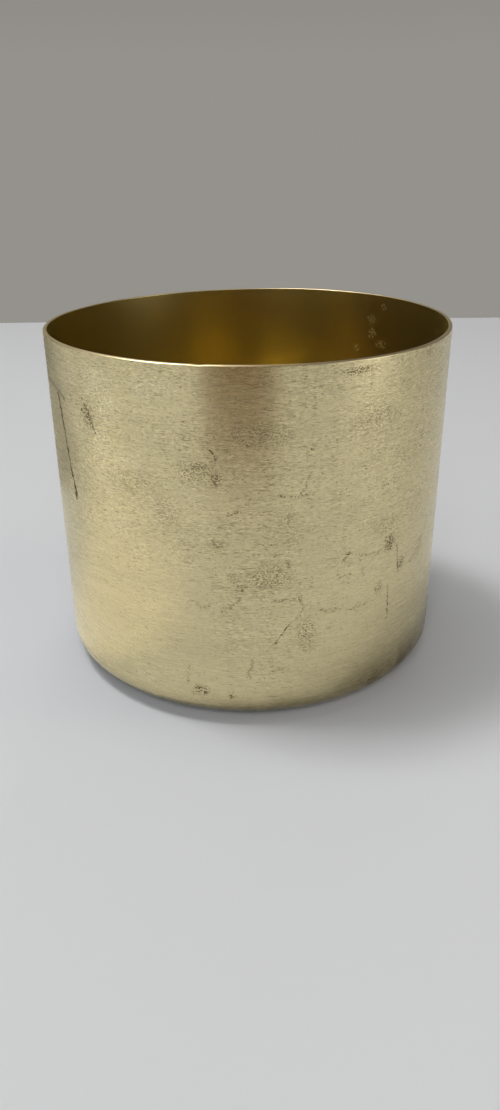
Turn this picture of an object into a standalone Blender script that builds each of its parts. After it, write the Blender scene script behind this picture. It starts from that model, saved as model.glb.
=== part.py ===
"""Brass pen holder cup with a self-adhesive felt disc under its base. Metres, +Z up.

The cup is one thin-walled drawn shell, open at the top, with a rounded base corner.
The origin is on the cup's axis, in the surface that the felt disc stands on.
"""

import math

import bmesh
import bpy

MM = 0.001

# Driving dimensions of the brass cup.
CUP_DIAMETER = 88.9 * MM
CUP_HEIGHT = 76.2 * MM
WALL = 0.8 * MM
BASE_CORNER_RADIUS = 5.0 * MM
RIM_EDGE_RADIUS = 0.2 * MM

# Driving dimensions of the disc under it: felt below, its film of adhesive above.
FELT_DIAMETER = 70.0 * MM
FELT_THICKNESS = 1.0 * MM
ADHESIVE_DIAMETER = 69.0 * MM
ADHESIVE_THICKNESS = 0.15 * MM
FACE_GAP = 0.05 * MM

# Fineness of the facets.
CUP_SEGMENTS = 96
CORNER_STEPS = 8
RIM_EDGE_STEPS = 3
DISC_SEGMENTS = 96

# Heights, from the surface that the cup stands on upwards.
ADHESIVE_BOTTOM = FELT_THICKNESS + FACE_GAP
CUP_BOTTOM = ADHESIVE_BOTTOM + ADHESIVE_THICKNESS + FACE_GAP
CUP_TOP = CUP_BOTTOM + CUP_HEIGHT

SMOOTH_BELOW = math.radians(30)
MERGE_DISTANCE = 0.001 * MM


def clear_scene():
    for found in list(bpy.data.objects):
        bpy.data.objects.remove(found, do_unlink=True)


def new_collection(name):
    made = bpy.data.collections.new(name)
    bpy.context.scene.collection.children.link(made)
    return made


def new_material(name, colour, roughness, metallic):
    made = bpy.data.materials.new(name)
    made.use_nodes = True
    shader = made.node_tree.nodes["Principled BSDF"]
    shader.inputs["Base Color"].default_value = (*colour, 1.0)
    shader.inputs["Roughness"].default_value = roughness
    shader.inputs["Metallic"].default_value = metallic
    return made


def arc(centre_x, centre_z, radius, start, end, steps):
    """Points of an arc in the XZ plane, angles in degrees from +X towards +Z."""
    points = []
    for step in range(steps + 1):
        angle = math.radians(start + (end - start) * step / steps)
        points.append((centre_x + radius * math.cos(angle), centre_z + radius * math.sin(angle)))
    return points


def cup_profile():
    """Half section of the shell: inner floor, inner wall up, rim, outer wall down, base."""
    outer = CUP_DIAMETER / 2
    inner = outer - WALL
    corner_x = outer - BASE_CORNER_RADIUS
    corner_z = CUP_BOTTOM + BASE_CORNER_RADIUS
    inner_corner = BASE_CORNER_RADIUS - WALL
    edge_z = CUP_TOP - RIM_EDGE_RADIUS
    profile = [(0.0, CUP_BOTTOM + WALL)]
    profile += arc(corner_x, corner_z, inner_corner, -90, 0, CORNER_STEPS)
    profile += arc(inner + RIM_EDGE_RADIUS, edge_z, RIM_EDGE_RADIUS, 180, 90, RIM_EDGE_STEPS)
    profile += arc(outer - RIM_EDGE_RADIUS, edge_z, RIM_EDGE_RADIUS, 90, 0, RIM_EDGE_STEPS)
    profile += arc(corner_x, corner_z, BASE_CORNER_RADIUS, 0, -90, CORNER_STEPS)
    profile.append((0.0, CUP_BOTTOM))
    return profile


def add_object(name, mesh, material, collection):
    made = bpy.data.objects.new(name, mesh)
    mesh.materials.append(material)
    collection.objects.link(made)
    return made


def make_cup_body(collection):
    """The shell, turned about Z from its half section by a Screw modifier."""
    mesh = bpy.data.meshes.new("cup_body")
    points = [(x, 0.0, z) for x, z in cup_profile()]
    edges = [(index, index + 1) for index in range(len(points) - 1)]
    mesh.from_pydata(points, edges, [])
    material = new_material("brass", (0.66, 0.52, 0.25), 0.36, 1.0)
    cup = add_object("cup_body", mesh, material, collection)
    turn = cup.modifiers.new("turn", "SCREW")
    turn.axis = "Z"
    turn.angle = math.tau
    turn.steps = CUP_SEGMENTS
    turn.render_steps = CUP_SEGMENTS
    turn.use_merge_vertices = True
    turn.merge_threshold = MERGE_DISTANCE
    turn.use_smooth_shade = True
    return cup


def make_disc(name, diameter, thickness, bottom, material, collection):
    """A flat round disc, its lower face at the height given as bottom."""
    mesh = bpy.data.meshes.new(name)
    shape = bmesh.new()
    bmesh.ops.create_cone(
        shape,
        cap_ends=True,
        segments=DISC_SEGMENTS,
        radius1=diameter / 2,
        radius2=diameter / 2,
        depth=thickness,
    )
    shape.to_mesh(mesh)
    shape.free()
    mesh.shade_smooth()
    mesh.set_sharp_from_angle(angle=SMOOTH_BELOW)
    disc = add_object(name, mesh, material, collection)
    disc.location.z = bottom + thickness / 2
    return disc


def make_felt(collection):
    material = new_material("felt", (0.035, 0.034, 0.033), 0.95, 0.0)
    return make_disc("base_pad", FELT_DIAMETER, FELT_THICKNESS, 0.0, material, collection)


def make_adhesive(collection):
    material = new_material("adhesive", (0.72, 0.70, 0.62), 0.5, 0.0)
    size = (ADHESIVE_DIAMETER, ADHESIVE_THICKNESS, ADHESIVE_BOTTOM)
    return make_disc("pad_adhesive", *size, material, collection)


def main():
    clear_scene()
    parts = new_collection("pen_holder_cup")
    make_cup_body(parts)
    make_felt(parts)
    make_adhesive(parts)


main()
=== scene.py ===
"""Looks of the pen holder cup: brushed, lightly worn brass, a felt disc, a pale floor, soft light.

Lengths are in metres, except in the brass and the lists of its marks, where they are in
millimetres. An azimuth, or an angle round the cup, is in degrees from the cup's front (-Y)
and grows towards its right (+X), unless a function says that it is in radians.
"""

import math

import bmesh
import bpy
from mathutils import Matrix, Vector, noise


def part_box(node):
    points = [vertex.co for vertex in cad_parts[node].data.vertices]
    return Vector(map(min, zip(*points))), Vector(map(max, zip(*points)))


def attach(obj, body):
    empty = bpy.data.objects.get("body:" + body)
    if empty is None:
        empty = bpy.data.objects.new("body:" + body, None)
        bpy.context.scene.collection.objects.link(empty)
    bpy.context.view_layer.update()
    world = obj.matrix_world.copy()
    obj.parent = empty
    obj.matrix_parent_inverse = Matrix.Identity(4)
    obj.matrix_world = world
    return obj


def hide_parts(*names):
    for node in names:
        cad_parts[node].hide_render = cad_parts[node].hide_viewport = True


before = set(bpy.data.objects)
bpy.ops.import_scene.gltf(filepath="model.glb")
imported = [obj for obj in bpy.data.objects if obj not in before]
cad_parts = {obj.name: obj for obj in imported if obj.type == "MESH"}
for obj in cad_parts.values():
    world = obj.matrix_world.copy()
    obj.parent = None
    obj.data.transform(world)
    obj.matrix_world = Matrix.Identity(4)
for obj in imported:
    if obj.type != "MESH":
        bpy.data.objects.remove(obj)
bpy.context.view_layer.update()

MM = 0.001
CUP_LOW, CUP_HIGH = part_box("cup_body")
FELT_LOW, FELT_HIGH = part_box("base_pad")
RADIUS = CUP_HIGH.x
BASE = CUP_LOW.z
RIM = CUP_HIGH.z

# The shell's section, as in the solid that it stands for.
WALL = 0.8 * MM
CORNER = 5.0 * MM
RIM_EDGE = 0.22 * MM
RIM_INNER_EDGE = 0.1 * MM

# Fineness of the shell. A row this close below each rim edge keeps the edge crisp.
EDGE_HOLD = 0.1 * MM
AROUND = 288
WALL_ROWS = 56
CORNER_ROWS = 12
FLAT_ROWS = 7
RIM_EDGE_ROWS = 4

# The shell's zones, in the order of its material slots.
OUTSIDE, RIM_ZONE, INSIDE = 0, 1, 2


class Nodes:
    """Short ways to add shader nodes to one material."""

    def __init__(self, name):
        self.material = bpy.data.materials.new(name)
        self.material.use_nodes = True
        self.tree = self.material.node_tree
        self.shader = self.tree.nodes["Principled BSDF"]

    def add(self, kind, **settings):
        node = self.tree.nodes.new("ShaderNode" + kind)
        for key, value in settings.items():
            setattr(node, key, value)
        return node

    def feed(self, socket, value):
        """Link a socket to another, or set it to a number, colour or vector."""
        if isinstance(value, bpy.types.NodeSocket):
            self.tree.links.new(value, socket)
        else:
            socket.default_value = value

    def maths(self, operation, a, b=0.0):
        node = self.add("Math", operation=operation)
        for socket, value in zip(node.inputs, (a, b)):
            self.feed(socket, value)
        return node.outputs[0]

    def combine(self, x, y, z):
        node = self.add("CombineXYZ")
        for socket, value in zip(node.inputs, (x, y, z)):
            self.feed(socket, value)
        return node.outputs[0]

    def vector(self, operation, a, b=(0.0, 0.0, 0.0), scale=None):
        """A vector sum, product and so on; a number for DOT_PRODUCT, DISTANCE and LENGTH."""
        node = self.add("VectorMath", operation=operation)
        self.feed(node.inputs[0], a)
        self.feed(node.inputs[1], b)
        if scale is not None:
            self.feed(node.inputs["Scale"], scale)
        is_number = operation in ("DOT_PRODUCT", "DISTANCE", "LENGTH")
        return node.outputs["Value" if is_number else "Vector"]

    def noise(self, vector, scale=1.0, detail=2.0, roughness=0.5, distortion=0.0):
        node = self.add("TexNoise")
        self.feed(node.inputs["Vector"], vector)
        node.inputs["Scale"].default_value = scale
        node.inputs["Detail"].default_value = detail
        node.inputs["Roughness"].default_value = roughness
        node.inputs["Distortion"].default_value = distortion
        return node.outputs["Fac"]

    def map_range(self, value, low, high, to_low, to_high, kind, clamp):
        node = self.add("MapRange", interpolation_type=kind, clamp=clamp)
        self.feed(node.inputs["Value"], value)
        node.inputs["From Min"].default_value = low
        node.inputs["From Max"].default_value = high
        node.inputs["To Min"].default_value = to_low
        node.inputs["To Max"].default_value = to_high
        return node.outputs["Result"]

    def ease(self, value, low, high, to_low=0.0, to_high=1.0):
        """A smooth step, which stays within its two end values without a clamp."""
        return self.map_range(value, low, high, to_low, to_high, "SMOOTHSTEP", False)

    def line(self, value, low, high, to_low, to_high):
        """A straight ramp, held at its two end values."""
        return self.map_range(value, low, high, to_low, to_high, "LINEAR", True)

    def mix(self, factor, a, b, blend="MIX"):
        node = self.add("Mix", data_type="RGBA", blend_type=blend)
        self.feed(node.inputs["Factor"], factor)
        self.feed(node.inputs[6], a)
        self.feed(node.inputs[7], b)
        return node.outputs[2]

    def shade(self, colour, tone):
        """A colour times a number."""
        return self.mix(1.0, colour, self.combine(tone, tone, tone), "MULTIPLY")


# ---------------------------------------------------------------- camera and floor

CAMERA_AWAY = 190.3 * MM
CAMERA_ABOVE_BASE = 109.8 * MM
PITCH_DOWN = 25.85
ROLL = -0.63
LENS_MM = 27.24
SENSOR_MM = 36.0
CLIP_START = 0.01


def make_camera():
    camera = bpy.data.objects.new("camera", bpy.data.cameras.new("camera"))
    camera.data.sensor_width = SENSOR_MM
    camera.data.lens = LENS_MM
    camera.data.clip_start = CLIP_START
    aim = Matrix.Rotation(math.radians(90.0 - PITCH_DOWN), 4, "X")
    roll = Matrix.Rotation(math.radians(ROLL), 4, "Z")
    place = Matrix.Translation((0.0, -CAMERA_AWAY, BASE + CAMERA_ABOVE_BASE))
    camera.matrix_world = place @ aim @ roll
    bpy.context.scene.collection.objects.link(camera)
    bpy.context.scene.camera = camera


TABLE_LEFT_RIGHT = 1.6
TABLE_BACK = 0.425
TABLE_FRONT = 1.6
FLOOR_DROP = 0.02 * MM
CLOTH = (0.82, 0.83, 0.845, 1.0)


def make_floor():
    mesh = bpy.data.meshes.new("floor")
    corners = [
        (-TABLE_LEFT_RIGHT, -TABLE_FRONT, -FLOOR_DROP),
        (TABLE_LEFT_RIGHT, -TABLE_FRONT, -FLOOR_DROP),
        (TABLE_LEFT_RIGHT, TABLE_BACK, -FLOOR_DROP),
        (-TABLE_LEFT_RIGHT, TABLE_BACK, -FLOOR_DROP),
    ]
    mesh.from_pydata(corners, [], [(0, 1, 2, 3)])
    floor = bpy.data.objects.new("floor", mesh)
    material = bpy.data.materials.new("floor_cloth")
    material.use_nodes = True
    shader = material.node_tree.nodes["Principled BSDF"]
    shader.inputs["Base Color"].default_value = CLOTH
    shader.inputs["Roughness"].default_value = 0.9
    shader.inputs["Specular IOR Level"].default_value = 0.2
    mesh.materials.append(material)
    bpy.context.scene.collection.objects.link(floor)


# ---------------------------------------------------------------- light

LIGHT_AWAY = 1.2
LIGHT_AIM = Vector((0.0, 0.0, 0.03))
WHITE = (1.0, 1.0, 1.0)
WARM = (1.0, 0.88, 0.70)

# Soft boxes: azimuth, elevation above the floor, power, size and colour.
FLOOR_BOXES = {
    "floor_left": (-101.0, 71.0, 4.3, 0.26, WHITE),
    "floor_top": (-120.0, 85.0, 1.5, 0.40, WHITE),
    "floor_right": (85.0, 22.0, 1.4, 0.50, WARM),
    "floor_back": (165.0, 22.0, 0.8, 0.50, WHITE),
    "floor_front": (-3.0, 38.0, 4.0, 0.60, WHITE),
    "floor_low_left": (-80.0, 28.0, 1.2, 0.60, WHITE),
}
METAL_BOXES = {
    "metal_left": (-62.0, 42.0, 9.0, 0.50, WHITE),
    "metal_left_high": (-88.0, 68.0, 18.5, 0.50, WHITE),
    "metal_right": (68.0, 12.0, 3.4, 0.60, WHITE),
    "metal_front": (-15.0, 15.0, 1.0, 0.50, WHITE),
}


def soft_box(name, azimuth, elevation, power, size, colour):
    """A square area light aimed at the cup."""
    turn, lift = math.radians(azimuth), math.radians(elevation)
    way = Vector((
        math.sin(turn) * math.cos(lift),
        -math.cos(turn) * math.cos(lift),
        math.sin(lift),
    ))
    data = bpy.data.lights.new(name, "AREA")
    data.shape = "SQUARE"
    data.size = size
    data.energy = power
    data.color = colour
    light = bpy.data.objects.new(name, data)
    light.location = way * LIGHT_AWAY
    light.rotation_euler = (LIGHT_AIM - light.location).to_track_quat("-Z", "Y").to_euler()
    bpy.context.scene.collection.objects.link(light)
    return light


def make_lights():
    """Soft boxes that light the floor and shade it, and others that the metal reflects."""
    for name, box in FLOOR_BOXES.items():
        soft_box(name, *box).visible_glossy = False
    for name, box in METAL_BOXES.items():
        soft_box(name, *box).visible_diffuse = False


# The room's grey: how high up the sky each is (Generated Z), and its colour.
ROOM_LOW = (0.08, (0.300, 0.288, 0.265, 1.0))
ROOM_HIGH = (0.65, (0.06, 0.06, 0.06, 1.0))


def make_world():
    """A grey room: pale grey at the height of the horizon, darker overhead."""
    world = bpy.data.worlds.new("room")
    bpy.context.scene.world = world
    world.use_nodes = True
    nodes = world.node_tree.nodes
    links = world.node_tree.links
    background = nodes["Background"]
    place = nodes.new("ShaderNodeTexCoord")
    split = nodes.new("ShaderNodeSeparateXYZ")
    links.new(place.outputs["Generated"], split.inputs[0])
    ramp = nodes.new("ShaderNodeValToRGB")
    for element, (height, colour) in zip(ramp.color_ramp.elements, (ROOM_LOW, ROOM_HIGH)):
        element.position = height
        element.color = colour
    links.new(split.outputs["Z"], ramp.inputs["Fac"])
    links.new(ramp.outputs["Color"], background.inputs["Color"])
    background.inputs["Strength"].default_value = 1.0


def card_material(name, glow, fades):
    """A plain glow that is clear towards its edges. A fade is (axis, clear place, full place)."""
    nodes = Nodes(name)
    split = nodes.add("SeparateXYZ")
    nodes.feed(split.inputs[0], nodes.add("TexCoord").outputs["Object"])
    cover = 1.0
    for axis, clear, full in fades:
        cover = nodes.maths("MULTIPLY", nodes.ease(split.outputs[axis], clear, full), cover)
    nodes.feed(nodes.shader.inputs["Alpha"], cover)
    nodes.shader.inputs["Base Color"].default_value = (0.0, 0.0, 0.0, 1.0)
    nodes.shader.inputs["Specular IOR Level"].default_value = 0.0
    nodes.shader.inputs["Emission Color"].default_value = (*glow, 1.0)
    nodes.shader.inputs["Emission Strength"].default_value = 1.0
    return nodes.material


def add_card(name, across, along, soft, place, glow):
    """A flat glowing card in its own XY plane with soft left and right edges, which only the metal
    sees: a painted reflection.
    """
    mesh = bpy.data.meshes.new(name)
    (left, right), (low, high) = across, along
    corners = [(left, low, 0.0), (right, low, 0.0), (right, high, 0.0), (left, high, 0.0)]
    mesh.from_pydata(corners, [], [(0, 1, 2, 3)])
    fades = [("X", left, left + soft), ("X", right, right - soft)]
    mesh.materials.append(card_material(name, glow, fades))
    card = bpy.data.objects.new(name, mesh)
    card.matrix_world = place
    bpy.context.scene.collection.objects.link(card)
    card.visible_camera = False
    card.visible_diffuse = False
    card.visible_shadow = False


def standing(azimuth, away):
    """Upright at that azimuth, its local X to the right as seen from outside, its local Y up."""
    turn = Matrix.Rotation(math.radians(azimuth), 4, "Z")
    upright = Matrix.Rotation(math.radians(90.0), 4, "X")
    return turn @ Matrix.Translation((0.0, -away, 0.0)) @ upright


def lying(azimuth):
    """Flat, just above the floor, its local -Y from the cup towards that azimuth."""
    turn = Matrix.Rotation(math.radians(azimuth), 4, "Z")
    return Matrix.Translation((0.0, 0.0, FLOOR_DROP)) @ turn


# Glowing cards, painted reflections that only the metal sees: size across, size along, width of the
# soft edges, place and glow.
CARDS = {
    "shade_card": ((-0.112, 0.072), (0.0, 0.36), 0.045, standing(0.0, 0.22), (0.175, 0.108, 0.058)),
    "back_shade_reflection_card": ((-0.12, 0.12), (0.0, 0.40), 0.045, standing(-150.0, 0.30), (0.22, 0.21, 0.18)),
    "left_floor_light_reflection": ((-0.03, 0.11), (-0.26, -0.046), 0.045, lying(-90.0), (0.80, 0.78, 0.74)),
    "back_floor_shade_reflection": ((-0.15, 0.15), (-0.50, -0.13), 0.08, lying(-140.0), (0.34, 0.33, 0.30)),
}


def make_cards():
    """Painted reflections in the metal beside the lights: glowing cards for the shade of whoever looks
    at it, for brighter floor on the left, and for darker room and floor at the back left.
    """
    for name, card in CARDS.items():
        add_card(name, *card)


# ---------------------------------------------------------------- the shell


# Places round the rim, in degrees from the front: its high side, and a small nick.
RIM_HIGH_SIDE = 135.0
NICK_AT = 348.5


def rim_drop(angle):
    """How far the cut rim lies below its highest place, at an angle from 0 to tau."""
    turn = angle - math.radians(RIM_HIGH_SIDE)
    swell = 0.26 * math.cos(2 * turn) + 0.13 * math.cos(turn)
    ripple = 0.03 * math.sin(5 * angle + 0.7) + 0.02 * math.sin(11 * angle + 2.1)
    nick = 0.12 * math.exp(-(((math.degrees(angle) - NICK_AT) / 1.1) ** 2))
    return (0.44 - swell - ripple + nick) * MM


def arc_rows(centre_x, centre_z, radius, start, end, steps, zone):
    """Rows along an arc, angles in degrees from outwards towards up, with both its ends."""
    rows = []
    for step in range(steps + 1):
        angle = math.radians(start + (end - start) * step / steps)
        x = centre_x + radius * math.cos(angle)
        rows.append((x, centre_z + radius * math.sin(angle), zone))
    return rows


def shell_profile():
    """Rows of (radius, height, zone): middle of the base, out, up, over the rim, down, inner floor."""
    corner_x, corner_z = RADIUS - CORNER, BASE + CORNER
    top = RIM - RIM_EDGE
    inner_radius = RADIUS - WALL
    inner_edge_x, inner_edge_z = inner_radius + RIM_INNER_EDGE, RIM - RIM_INNER_EDGE
    heights = [corner_z + (top - corner_z) * i / WALL_ROWS for i in range(WALL_ROWS + 1)]
    flat = [corner_x * i / FLAT_ROWS for i in range(FLAT_ROWS)]

    rows = [(x, BASE, OUTSIDE) for x in flat]
    rows += arc_rows(corner_x, corner_z, CORNER, -90, 0, CORNER_ROWS, OUTSIDE)
    rows += [(RADIUS, height, OUTSIDE) for height in heights[1:-1]]
    rows += [(RADIUS, top - EDGE_HOLD, OUTSIDE), (RADIUS, top, OUTSIDE)]
    rows += arc_rows(RADIUS - RIM_EDGE, top, RIM_EDGE, 0, 90, RIM_EDGE_ROWS, RIM_ZONE)[1:]
    inner_edge = (inner_edge_x, inner_edge_z, RIM_INNER_EDGE)
    rows += arc_rows(*inner_edge, 90, 180, RIM_EDGE_ROWS, RIM_ZONE)
    rows.append((inner_radius, inner_edge_z - EDGE_HOLD, INSIDE))
    rows += [(inner_radius, height, INSIDE) for height in heights[-2::-1]]
    rows += arc_rows(corner_x, corner_z, CORNER - WALL, 0, -90, CORNER_ROWS, INSIDE)[1:]
    rows += [(x, BASE + WALL, INSIDE) for x in flat[::-1]]
    return rows


def run_lengths(rows):
    """Length along the section from the middle of the base to each row, in millimetres."""
    lengths = [0.0]
    for (r0, z0, _), (r1, z1, _) in zip(rows, rows[1:]):
        lengths.append(lengths[-1] + math.hypot(r1 - r0, z1 - z0) / MM)
    return lengths


def wall_bow(angle, height):
    """How far the wall stands inside its true radius: the soft unevenness of drawn sheet."""
    spot = Vector((math.cos(angle) * 1.6, math.sin(angle) * 1.6, height / MM / 26))
    return (0.035 + 0.05 * noise.noise(spot)) * MM


def add_ring(shape, radius, height, around, place):
    """Points round the axis, or one on it, each moved a little by place(radius, height, angle)."""
    ring = []
    count = around if radius > 0 else 1
    for k in range(count):
        angle = math.tau * k / count
        r, z = place(radius, height, angle)
        ring.append(shape.verts.new((r * math.sin(angle), -r * math.cos(angle), z)))
    return ring


def join_rings(shape, rings, zones):
    """Smooth faces between each ring and the next, with a material slot for each pair."""
    for low, high, zone in zip(rings, rings[1:], zones):
        around = max(len(low), len(high))
        for k in range(around):
            n = (k + 1) % around
            if len(low) == 1:
                corners = (low[0], high[n], high[k])
            elif len(high) == 1:
                corners = (low[k], low[n], high[0])
            else:
                corners = (low[k], low[n], high[n], high[k])
            face = shape.faces.new(corners)
            face.smooth = True
            face.material_index = zone


def add_piece(name, shape, materials):
    """An object from a bmesh, which it frees, with its materials."""
    mesh = bpy.data.meshes.new(name)
    shape.to_mesh(mesh)
    shape.free()
    piece = bpy.data.objects.new(name, mesh)
    for material in materials:
        mesh.materials.append(material)
    bpy.context.scene.collection.objects.link(piece)
    return piece


def shell_place(radius, height, angle):
    """A point of the shell, moved by the wall's bow and the rim's waver."""
    up = max(0.0, (height - BASE - CORNER) / (RIM - BASE - CORNER))
    bow = wall_bow(angle, height) * min(1.0, 4 * up)
    return radius - bow, height - rim_drop(angle) * up**3


def make_shell(materials):
    rows = shell_profile()
    shape = bmesh.new()
    run = shape.verts.layers.float.new("run")
    rings = []
    for (radius, height, _), length in zip(rows, run_lengths(rows)):
        ring = add_ring(shape, radius, height, AROUND, shell_place)
        for vert in ring:
            vert[run] = length
        rings.append(ring)
    join_rings(shape, rings, [max(a[2], b[2]) for a, b in zip(rows, rows[1:])])
    shell = add_piece("cup_shell", shape, materials)
    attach(shell, "root")
    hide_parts("cup_body")


# ---------------------------------------------------------------- marks on the brass

# A place is (angle round the cup, height above the base in mm). A line is a list of places.
DRIP = [(-61.0, 65.5), (-59.5, 62.0), (-58.5, 58.0), (-56.5, 49.5), (-55.0, 45.5)]
SMUDGE = [(-71.0, 66.5), (-62.0, 66.5), (-56.5, 65.0)]

# Thin dark scratches, the last five on the back.
SCRATCHES = [
    [(-46.5, 66.5), (-43.5, 62.0)],
    [(-45.0, 65.5), (-42.0, 60.0)],
    [(-47.5, 64.5), (-44.0, 62.5)],
    [(-9.0, 55.5), (-8.0, 53.0)],
    [(-7.5, 55.5), (-8.5, 53.5)],
    [(-9.0, 60.0), (-8.0, 58.5)],
    [(40.0, 38.0), (41.0, 34.5)],
    [(41.5, 37.0), (40.5, 35.0)],
    [(43.5, 35.0), (45.0, 28.5)],
    [(47.0, 31.5), (45.0, 29.5)],
    [(40.5, 27.0), (41.5, 18.0)],
    [(10.0, 23.0), (6.0, 18.5)],
    [(118.0, 55.0), (123.5, 51.5)],
    [(152.0, 24.0), (149.0, 19.5)],
    [(-172.0, 61.0), (-168.5, 62.5)],
    [(-131.0, 38.0), (-128.5, 33.0)],
    [(-104.0, 22.0), (-99.0, 24.5)],
]

# Faint broken lines.
CRACKS = [
    [(0.0, 50.5), (0.0, 49.5)],
    [(-7.5, 47.0), (-7.0, 46.5)],
    [(-9.5, 42.0), (-8.0, 40.5), (-6.5, 42.0)],
    [(10.0, 47.0), (9.5, 45.0)],
    [(9.5, 37.5), (10.0, 35.5)],
    [(29.5, 36.0), (30.0, 34.5)],
    [(31.0, 33.0), (31.5, 31.0)],
    [(-15.0, 57.0), (-11.0, 57.5)],
    [(-14.5, 56.5), (-11.5, 56.5)],
    [(-5.5, 47.5), (-2.0, 48.0)],
    [(17.0, 61.5), (14.0, 59.0)],
    [(15.0, 55.0), (13.5, 52.0)],
    [(7.0, 51.0), (16.0, 51.0)],
    [(24.5, 35.5), (26.0, 37.0), (32.0, 35.5), (37.5, 35.5)],
    [(23.0, 33.5), (23.5, 32.0), (27.5, 32.5)],
    [(18.5, 25.5), (27.0, 24.0), (36.0, 24.5)],
    [(36.0, 49.5), (40.5, 50.0)],
    [(-2.5, 29.5), (-3.5, 28.5), (-6.0, 27.5), (-7.5, 26.5)],
    [(-14.0, 28.0), (-13.0, 27.0), (-10.5, 27.5)],
    [(5.0, 28.5), (10.5, 29.0), (12.5, 29.0), (14.0, 26.5), (12.0, 24.0)],
    [(0.0, 15.5), (0.5, 14.5), (-0.5, 12.5), (-0.5, 10.5)],
    [(4.5, 11.5), (7.0, 12.5), (9.5, 12.5)],
    [(24.0, 74.0), (30.5, 73.5)],
    [(50.5, 29.5), (54.5, 31.0), (60.5, 36.0)],
    [(-17.0, 13.0), (-17.5, 8.5)],
]

# A patch is oval: its place, half width and half height in mm, and strength from 0 to 1.
DRIP_END = [(-55.0, 44.5, 0.75, 1.25, 1.0)]

# Dark specks, the last seven patches on the back.
SPECK_PATCHES = [
    (-8.0, 54.5, 1.5, 1.9, 0.8),
    (-13.0, 55.5, 5.2, 3.6, 0.6),
    (2.5, 63.0, 7.5, 2.6, 0.6),
    (-0.5, 61.0, 0.9, 0.7, 0.7),
    (9.5, 44.5, 3.2, 4.4, 0.4),
    (-8.0, 41.0, 2.0, 1.3, 0.55),
    (9.5, 37.0, 0.8, 0.9, 0.7),
    (5.0, 34.0, 6.0, 3.4, 0.6),
    (-2.5, 32.0, 1.2, 1.2, 0.8),
    (-4.0, 34.0, 1.4, 1.2, 0.6),
    (15.0, 20.5, 2.8, 4.4, 0.6),
    (26.0, 36.5, 0.8, 0.5, 1.0),
    (40.5, 36.5, 2.2, 2.4, 1.0),
    (46.0, 30.5, 1.6, 1.8, 0.8),
    (37.5, 41.0, 6.0, 2.6, 0.5),
    (37.0, 27.0, 1.6, 2.0, 0.6),
    (55.0, 31.5, 3.0, 3.0, 0.5),
    (27.5, 73.5, 5.2, 1.0, 0.9),
    (33.0, 64.0, 7.0, 4.5, 0.5),
    (52.0, 74.0, 1.0, 0.6, 0.8),
    (-14.0, 7.0, 2.2, 1.7, 1.0),
    (-5.5, 6.0, 0.9, 0.8, 1.0),
    (-44.5, 63.5, 2.6, 3.4, 0.7),
    (-30.0, 52.0, 9.0, 3.0, 0.4),
    (-21.0, 47.0, 4.0, 5.0, 0.4),
    (121.0, 53.0, 2.4, 2.8, 0.8),
    (138.0, 66.0, 6.0, 3.0, 0.5),
    (151.0, 22.0, 2.0, 3.0, 0.9),
    (-170.0, 60.0, 3.0, 2.2, 0.8),
    (-150.0, 44.0, 7.0, 4.0, 0.45),
    (-129.0, 36.0, 2.0, 3.2, 0.8),
    (-108.0, 12.0, 2.6, 2.0, 0.8),
]

# A brown cast near the base: partly tarnish, partly painted shade, strongest on the shadowed right.
BROWN_AND_SHADE_PATCHES = [
    (8.0, -1.5, 38.0, 7.5, 0.7),
    (52.0, 0.0, 28.0, 11.0, 1.0),
    (75.0, 3.0, 20.0, 11.0, 0.7),
]

# Where the brushing is more worn, and the sides where it is less.
WORN_FRONT = [(4.0, 30.0, 15.0, 24.0, 0.75)]
SMOOTH_SIDES = [(-66.0, 45.0, 9.0, 60.0, 0.8), (76.0, 45.0, 12.0, 60.0, 0.6)]

# Pale crazing, to the left of the front.
CRAZED_PATCHES = [
    (-40.0, 70.0, 5.0, 3.6, 0.9),
    (-37.5, 66.0, 4.0, 3.6, 0.9),
    (-40.0, 58.5, 3.0, 5.0, 0.8),
    (-39.0, 51.5, 4.5, 4.5, 0.7),
    (-33.0, 56.0, 6.0, 3.0, 0.5),
    (-37.0, 43.0, 3.5, 4.5, 0.5),
    (-24.0, 71.0, 5.0, 2.4, 0.5),
    (-31.0, 8.0, 3.0, 2.4, 0.6),
]

# Pale smudges on the inside of the wall.
PALE_SMUDGES = [
    (128.0, 73.5, 1.6, 1.0, 0.7),
    (133.0, 70.0, 1.8, 1.6, 0.8),
    (132.5, 66.5, 1.4, 1.8, 0.9),
    (139.0, 62.0, 1.2, 1.5, 0.6),
    (128.5, 64.0, 2.4, 1.4, 0.7),
]

# ---------------------------------------------------------------- brass

# Plain brass: colour, roughness, how much its shine runs one way, and strength of the brushing.
OUTSIDE_BRASS = ((0.72, 0.625, 0.365), 0.27, 0.3, 1.0)
# The rim's darker colour is painted shade that dulls its reflections.
RIM_SHADED_BRASS = ((0.56, 0.455, 0.26), 0.42, 0.3, 0.6)
# The inside's darker, deeper colour is painted shade of the hollow.
INSIDE_SHADED_BRASS = ((0.69, 0.575, 0.24), 0.2, 0.0, 0.25)

MARK_COLOUR = (0.075, 0.042, 0.008, 1.0)
BROWN_AND_SHADE_COLOUR = (0.11, 0.078, 0.024, 1.0)
CRAZED_COLOUR = (1.0, 0.93, 0.66, 1.0)
PALE_COLOUR = (0.86, 0.74, 0.42, 1.0)

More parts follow.
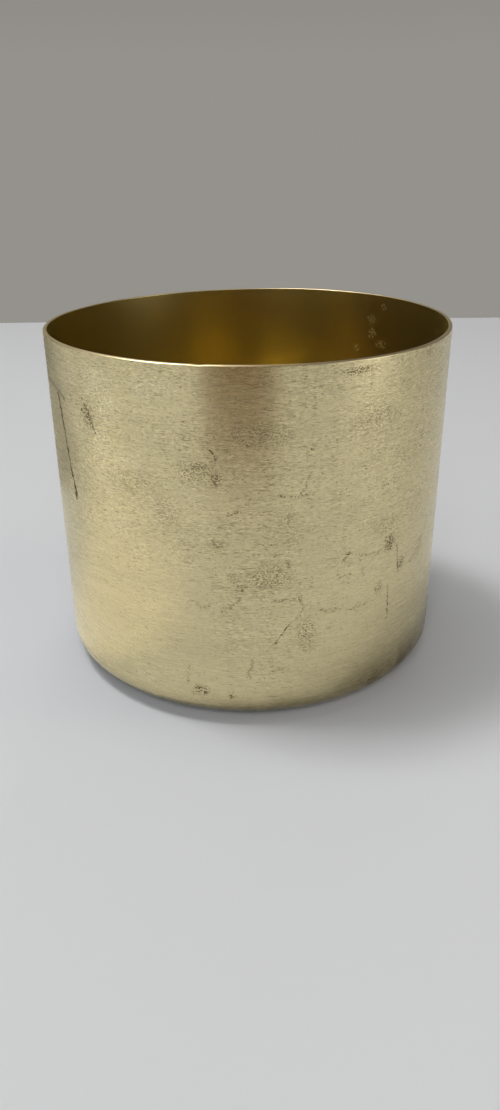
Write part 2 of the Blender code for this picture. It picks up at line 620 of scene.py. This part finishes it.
# Noise on the wall: length of its features round the cup and up it in mm, detail, and a shift
# that keeps each of them apart from the rest.
GRAIN = (0.9, 0.17, 0.0, 0.0)
SHORT_DASHES = (0.5, 0.17, 0.0, 3.1)
LONG_DASHES = (1.5, 0.17, 0.0, 7.3)
LINE_GAPS = (0.4, 0.26, 1.0, 5.5)
CRACK_GAPS = (0.35, 0.2, 0.0, 9.2)
SPECKS = (0.36, 0.22, 0.0, 11.7)
CRAZING = (0.3, 0.2, 0.0, 13.3)
ROUGHNESS_LINES = (6.0, 0.5, 2.0, 0.0)
BUMP_LINES = (2.2, 0.2, 2.0, 0.0)

# Brush lines of three sizes: length and height in mm, and how much each lightens or darkens.
BRUSH_LINES = ((3.6, 0.22, 0.09), (12.0, 0.45, 0.04), (30.0, 5.0, 0.04))

GRAIN_DEPTH = 0.28
DASH_CROWDING = 0.11
DASH_STRENGTH = 0.44
ROUGHNESS_SPREAD = 0.03
MARK_ROUGHNESS = 0.2
PALE_ROUGHNESS = 0.3
FAR = 100.0


class Surface:
    """Coordinates on the shell in millimetres: in space, along the section and round the cup."""

    def __init__(self, nodes):
        split = nodes.add("SeparateXYZ")
        nodes.feed(split.inputs[0], nodes.add("TexCoord").outputs["Object"])
        self.nodes = nodes
        self.x, self.y, z = (nodes.maths("MULTIPLY", axis, 1 / MM) for axis in split.outputs)
        self.run = nodes.add("Attribute", attribute_name="run").outputs["Fac"]
        self.height = nodes.maths("SUBTRACT", z, BASE / MM)
        angle = nodes.maths("ARCTAN2", self.x, nodes.maths("MULTIPLY", self.y, -1.0))
        self.arc = nodes.maths("MULTIPLY", angle, RADIUS / MM)

    def place(self):
        """The place on the wall: the distance round from the front, and the height."""
        return self.nodes.combine(self.arc, self.height, 0.0)

    def streaks(self, along, across, detail, shift=0.0):
        """Noise with features about along mm long round the cup and across mm high."""
        nodes = self.nodes
        run = nodes.maths("MULTIPLY", self.run, 1 / across)
        vector = nodes.combine(
            nodes.maths("MULTIPLY", self.x, 1 / along),
            nodes.maths("MULTIPLY", self.y, 1 / along),
            nodes.maths("ADD", run, shift),
        )
        return nodes.noise(vector, 1.0, detail, 0.55)

    def cloud(self, size, detail=3.0):
        """Noise with features of about one size in mm, the same in every direction."""
        nodes = self.nodes
        return nodes.noise(nodes.combine(self.x, self.y, self.run), 1 / size, detail, 0.6)

    def shaken(self, amount, size):
        """The place on the wall, shifted a little by noise so that drawn marks aren't straight."""
        nodes = self.nodes
        place = self.place()
        source = nodes.add("TexNoise")
        nodes.feed(source.inputs["Vector"], nodes.combine(self.x, self.y, self.height))
        source.inputs["Scale"].default_value = 1 / size
        source.inputs["Detail"].default_value = 2.0
        middle = nodes.vector("SUBTRACT", source.outputs["Color"], (0.5, 0.5, 0.5))
        shift = nodes.vector("MULTIPLY", middle, (amount, amount, 0.0))
        return nodes.vector("ADD", place, shift)


def wall_place(angle, height):
    return (math.radians(angle) * RADIUS / MM, height, 0.0)


def line_distance(nodes, place, lines):
    """Distance in mm from the nearest of several lines."""
    nearest = FAR
    for line in lines:
        for start, end in zip(line, line[1:]):
            a = Vector(wall_place(*start))
            way = Vector(wall_place(*end)) - a
            offset = nodes.vector("SUBTRACT", place, a)
            along = nodes.vector("DOT_PRODUCT", offset, way)
            share = nodes.maths("MULTIPLY", along, 1 / way.length_squared)
            share = nodes.maths("MAXIMUM", nodes.maths("MINIMUM", share, 1.0), 0.0)
            foot = nodes.vector("SCALE", way, scale=share)
            gap = nodes.vector("DISTANCE", offset, foot)
            nearest = nodes.maths("MINIMUM", gap, nearest)
    return nearest


def patch_cover(nodes, place, patches):
    """How strongly a place lies in any of several soft-edged patches, from 0 to 1."""
    cover = 0.0
    for angle, height, half_width, half_height, strength in patches:
        offset = nodes.vector("SUBTRACT", place, wall_place(angle, height))
        share = nodes.vector("MULTIPLY", offset, (1 / half_width, 1 / half_height, 0.0))
        inside = nodes.ease(nodes.vector("LENGTH", share), 1.25, 0.35, 0.0, strength)
        cover = nodes.maths("MAXIMUM", inside, cover)
    return cover


def brush_tone(surface, strength):
    """Fine, paler and darker lines round the cup, as a factor near 1."""
    nodes = surface.nodes
    tone = 1.0
    for along, across, depth in BRUSH_LINES:
        lines = surface.streaks(along, across, 1.0)
        swing = depth * strength
        tone = nodes.maths("ADD", nodes.line(lines, 0.2, 0.8, -swing, swing), tone)
    return tone


def wear_amount(surface, patches):
    """How worn the brushing is, from 0 to 1: most over the upper wall and the middle of the front."""
    nodes = surface.nodes
    patchy = nodes.ease(surface.cloud(9.0), 0.36, 0.62, 0.5, 1.0)
    upper = nodes.ease(surface.height, 20.0, 50.0, 0.12, 0.75)
    place = surface.place()
    worn = nodes.maths("MAXIMUM", upper, patch_cover(nodes, place, WORN_FRONT))
    amount = nodes.maths("MULTIPLY", worn, patchy)
    smooth = nodes.maths("SUBTRACT", 1.0, patch_cover(nodes, place, SMOOTH_SIDES))
    return nodes.maths("MAXIMUM", nodes.maths("MULTIPLY", amount, smooth), patches)


def grain_tone(surface, amount):
    """Short paler and darker glints along the brushing, as a factor near 1."""
    nodes = surface.nodes
    grain = nodes.line(surface.streaks(*GRAIN), 0.24, 0.76, -GRAIN_DEPTH, GRAIN_DEPTH)
    return nodes.maths("ADD", nodes.maths("MULTIPLY", grain, amount), 1.0)


def dash_cover(surface, amount):
    """Short dark dashes along the brushing, closer together where it is more worn."""
    nodes = surface.nodes
    crowd = nodes.maths("MULTIPLY", amount, DASH_CROWDING)
    short = nodes.maths("ADD", surface.streaks(*SHORT_DASHES), crowd)
    long = nodes.maths("ADD", surface.streaks(*LONG_DASHES), crowd)
    dashes = nodes.maths("MAXIMUM", nodes.ease(short, 0.73, 0.80), nodes.ease(long, 0.75, 0.82))
    return nodes.maths("MULTIPLY", dashes, DASH_STRENGTH)


def mark_cover(surface, place, patches, amount):
    """Darkness of the marks on the outside, from 0 to 1."""
    nodes = surface.nodes
    drip = nodes.ease(line_distance(nodes, place, [DRIP]), 0.42, 0.16)
    drip = nodes.maths("MAXIMUM", drip, patch_cover(nodes, place, DRIP_END))
    scratch = nodes.ease(line_distance(nodes, place, SCRATCHES), 0.32, 0.09, 0.0, 0.9)
    smudge = nodes.ease(line_distance(nodes, place, [SMUDGE]), 1.1, 0.1, 0.0, 0.75)
    gaps = nodes.ease(surface.streaks(*LINE_GAPS), 0.44, 0.54)
    broken = nodes.maths("MULTIPLY", nodes.maths("MAXIMUM", scratch, smudge), gaps)
    crack = nodes.ease(line_distance(nodes, place, CRACKS), 0.55, 0.05, 0.0, 0.7)
    chain = nodes.ease(surface.streaks(*CRACK_GAPS), 0.52, 0.62)
    broken = nodes.maths("MAXIMUM", broken, nodes.maths("MULTIPLY", crack, chain))
    specks = nodes.ease(surface.streaks(*SPECKS), 0.54, 0.62)
    specks = nodes.maths("MULTIPLY", specks, patches)
    fine = nodes.maths("MAXIMUM", specks, dash_cover(surface, amount))
    return nodes.maths("MAXIMUM", nodes.maths("MAXIMUM", drip, broken), fine)


def brown_and_shade_cover(surface):
    """A brown cast round the base corner, strongest on the right, from 0 to 1: partly tarnish, partly
    painted shade of the contact and of the side away from the light.
    """
    nodes = surface.nodes
    patchy = nodes.ease(surface.cloud(5.0), 0.3, 0.6, 0.7, 1.0)
    ring = nodes.ease(surface.height, 6.5, 0.5, 0.0, 0.3)
    side = patch_cover(nodes, surface.place(), BROWN_AND_SHADE_PATCHES)
    return nodes.maths("MULTIPLY", nodes.maths("MAXIMUM", ring, side), patchy)


def plain_brass(name, colour, roughness, one_way, brushing):
    """Brushed brass without marks: its nodes, coordinates, colour and roughness."""
    nodes = Nodes(name)
    surface = Surface(nodes)
    base = nodes.shade((*colour, 1.0), brush_tone(surface, brushing))
    rough_low, rough_high = roughness - ROUGHNESS_SPREAD, roughness + ROUGHNESS_SPREAD
    rough = nodes.line(surface.streaks(*ROUGHNESS_LINES), 0.3, 0.7, rough_low, rough_high)
    shader = nodes.shader
    nodes.feed(shader.inputs["Base Color"], base)
    nodes.feed(shader.inputs["Roughness"], rough)
    shader.inputs["Metallic"].default_value = 1.0
    shader.inputs["Anisotropic"].default_value = one_way
    shader.inputs["Anisotropic Rotation"].default_value = 0.25
    tangent = nodes.add("Tangent", direction_type="RADIAL", axis="Z")
    nodes.feed(shader.inputs["Tangent"], tangent.outputs[0])
    bump = nodes.add("Bump")
    bump.inputs["Strength"].default_value = brushing * 0.3
    bump.inputs["Distance"].default_value = 0.01 * MM
    nodes.feed(bump.inputs["Height"], surface.streaks(*BUMP_LINES))
    nodes.feed(shader.inputs["Normal"], bump.outputs[0])
    return nodes, surface, base, rough


def brass_outside():
    nodes, surface, base, rough = plain_brass("brass_outside", *OUTSIDE_BRASS)
    place = surface.shaken(1.5, 0.9)
    patches = patch_cover(nodes, place, SPECK_PATCHES)
    amount = wear_amount(surface, patches)
    colour = nodes.shade(base, grain_tone(surface, amount))
    crazed = nodes.ease(surface.streaks(*CRAZING), 0.55, 0.70)
    crazed = nodes.maths("MULTIPLY", crazed, patch_cover(nodes, place, CRAZED_PATCHES))
    colour = nodes.mix(crazed, colour, CRAZED_COLOUR)
    # Painted shade and tarnish round the base corner, with less metallic shine where it is strongest.
    brown = brown_and_shade_cover(surface)
    colour = nodes.mix(brown, colour, BROWN_AND_SHADE_COLOUR)
    nodes.feed(nodes.shader.inputs["Metallic"], nodes.ease(brown, 0.25, 1.0, 1.0, 0.5))
    dark = mark_cover(surface, place, patches, amount)
    nodes.feed(nodes.shader.inputs["Base Color"], nodes.mix(dark, colour, MARK_COLOUR))
    dull = nodes.maths("MULTIPLY", dark, MARK_ROUGHNESS)
    nodes.feed(nodes.shader.inputs["Roughness"], nodes.maths("ADD", rough, dull))
    return nodes.material


# Brass of the cut rim, darker than the outside: painted shade that dulls its reflections.
def shaded_brass_rim():
    return plain_brass("shaded_brass_rim", *RIM_SHADED_BRASS)[0].material


# Brass of the inside, darker than the outside: painted shade of the hollow.
def shaded_brass_inside():
    nodes, surface, base, _ = plain_brass("shaded_brass_inside", *INSIDE_SHADED_BRASS)
    place = surface.shaken(1.6, 1.2)
    fine = nodes.ease(surface.cloud(0.4, 2.0), 0.46, 0.62, 0.0, 0.6)
    pale = nodes.maths("MULTIPLY", patch_cover(nodes, place, PALE_SMUDGES), fine)
    nodes.feed(nodes.shader.inputs["Base Color"], nodes.mix(pale, base, PALE_COLOUR))
    dull = nodes.maths("MULTIPLY", pale, PALE_ROUGHNESS)
    smooth = INSIDE_SHADED_BRASS[1]
    nodes.feed(nodes.shader.inputs["Roughness"], nodes.maths("ADD", dull, smooth))
    return nodes.material


# ---------------------------------------------------------------- felt and adhesive

FELT_RADIUS = FELT_HIGH.x
FELT_EDGE = 0.35 * (FELT_HIGH.z - FELT_LOW.z)
FELT_RAGGED = 0.14 * MM
FELT_AROUND = 240
FELT_FLAT_ROWS = 20
FELT_EDGE_ROWS = 7
FELT_COLOURS = ((0.018, 0.017, 0.017, 1.0), (0.075, 0.072, 0.07, 1.0))
FILM_COLOURS = ((0.62, 0.60, 0.52, 1.0), (0.78, 0.76, 0.68, 1.0))


def felt_profile():
    """Rows of (radius, height): middle of the underside, out, round the edge, middle of the top."""
    low, high = FELT_LOW.z, FELT_HIGH.z
    flat = [FELT_RADIUS * i / FELT_FLAT_ROWS for i in range(FELT_FLAT_ROWS - 1)]
    flat.append(FELT_RADIUS - FELT_EDGE)
    rows = [(x, low) for x in flat]
    for i in range(1, FELT_EDGE_ROWS):
        a = math.radians(-90 + 180 * i / FELT_EDGE_ROWS)
        z = (low + high) / 2 + (high - low) / 2 * math.sin(a)
        rows.append((FELT_RADIUS - FELT_EDGE + FELT_EDGE * math.cos(a), z))
    return rows + [(x, high) for x in flat[::-1]]


def felt_place(radius, height, angle):
    """A point of the disc, whose cut edge is a little ragged."""
    if radius <= FELT_RADIUS - 2 * FELT_EDGE:
        return radius, height
    spot = Vector((math.sin(angle) * 30, math.cos(angle) * 30, height * 3000))
    return radius + FELT_RAGGED * (noise.noise(spot) - 0.5), height


def felt_material():
    nodes = Nodes("felt")
    fibres = nodes.noise(nodes.add("TexCoord").outputs["Object"], 2600.0, 4.0, 0.7, 1.5)
    nodes.feed(nodes.shader.inputs["Base Color"], nodes.mix(fibres, *FELT_COLOURS))
    nodes.feed(nodes.shader.inputs["Roughness"], nodes.line(fibres, 0.3, 0.7, 0.85, 1.0))
    nodes.shader.inputs["Sheen Weight"].default_value = 0.4
    bump = nodes.add("Bump")
    bump.inputs["Distance"].default_value = 0.1 * MM
    nodes.feed(bump.inputs["Height"], fibres)
    nodes.feed(nodes.shader.inputs["Normal"], bump.outputs[0])
    return nodes.material


def make_felt():
    shape = bmesh.new()
    rings = [add_ring(shape, r, z, FELT_AROUND, felt_place) for r, z in felt_profile()]
    join_rings(shape, rings, [0] * (len(rings) - 1))
    felt = add_piece("felt_disc", shape, [felt_material()])
    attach(felt, "root")
    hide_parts("base_pad")


def finish_adhesive():
    nodes = Nodes("adhesive")
    cloud = nodes.noise(nodes.add("TexCoord").outputs["Object"], 400.0, 3.0, 0.6)
    nodes.feed(nodes.shader.inputs["Base Color"], nodes.mix(cloud, *FILM_COLOURS))
    nodes.feed(nodes.shader.inputs["Roughness"], nodes.line(cloud, 0.3, 0.7, 0.35, 0.6))
    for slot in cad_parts["pad_adhesive"].material_slots:
        slot.material = nodes.material


# ---------------------------------------------------------------- build

bpy.context.scene.view_settings.view_transform = "Standard"
bpy.context.scene.cycles.caustics_reflective = False
make_camera()
make_floor()
make_world()
make_lights()
make_cards()
make_shell([brass_outside(), shaded_brass_rim(), shaded_brass_inside()])
make_felt()
finish_adhesive()
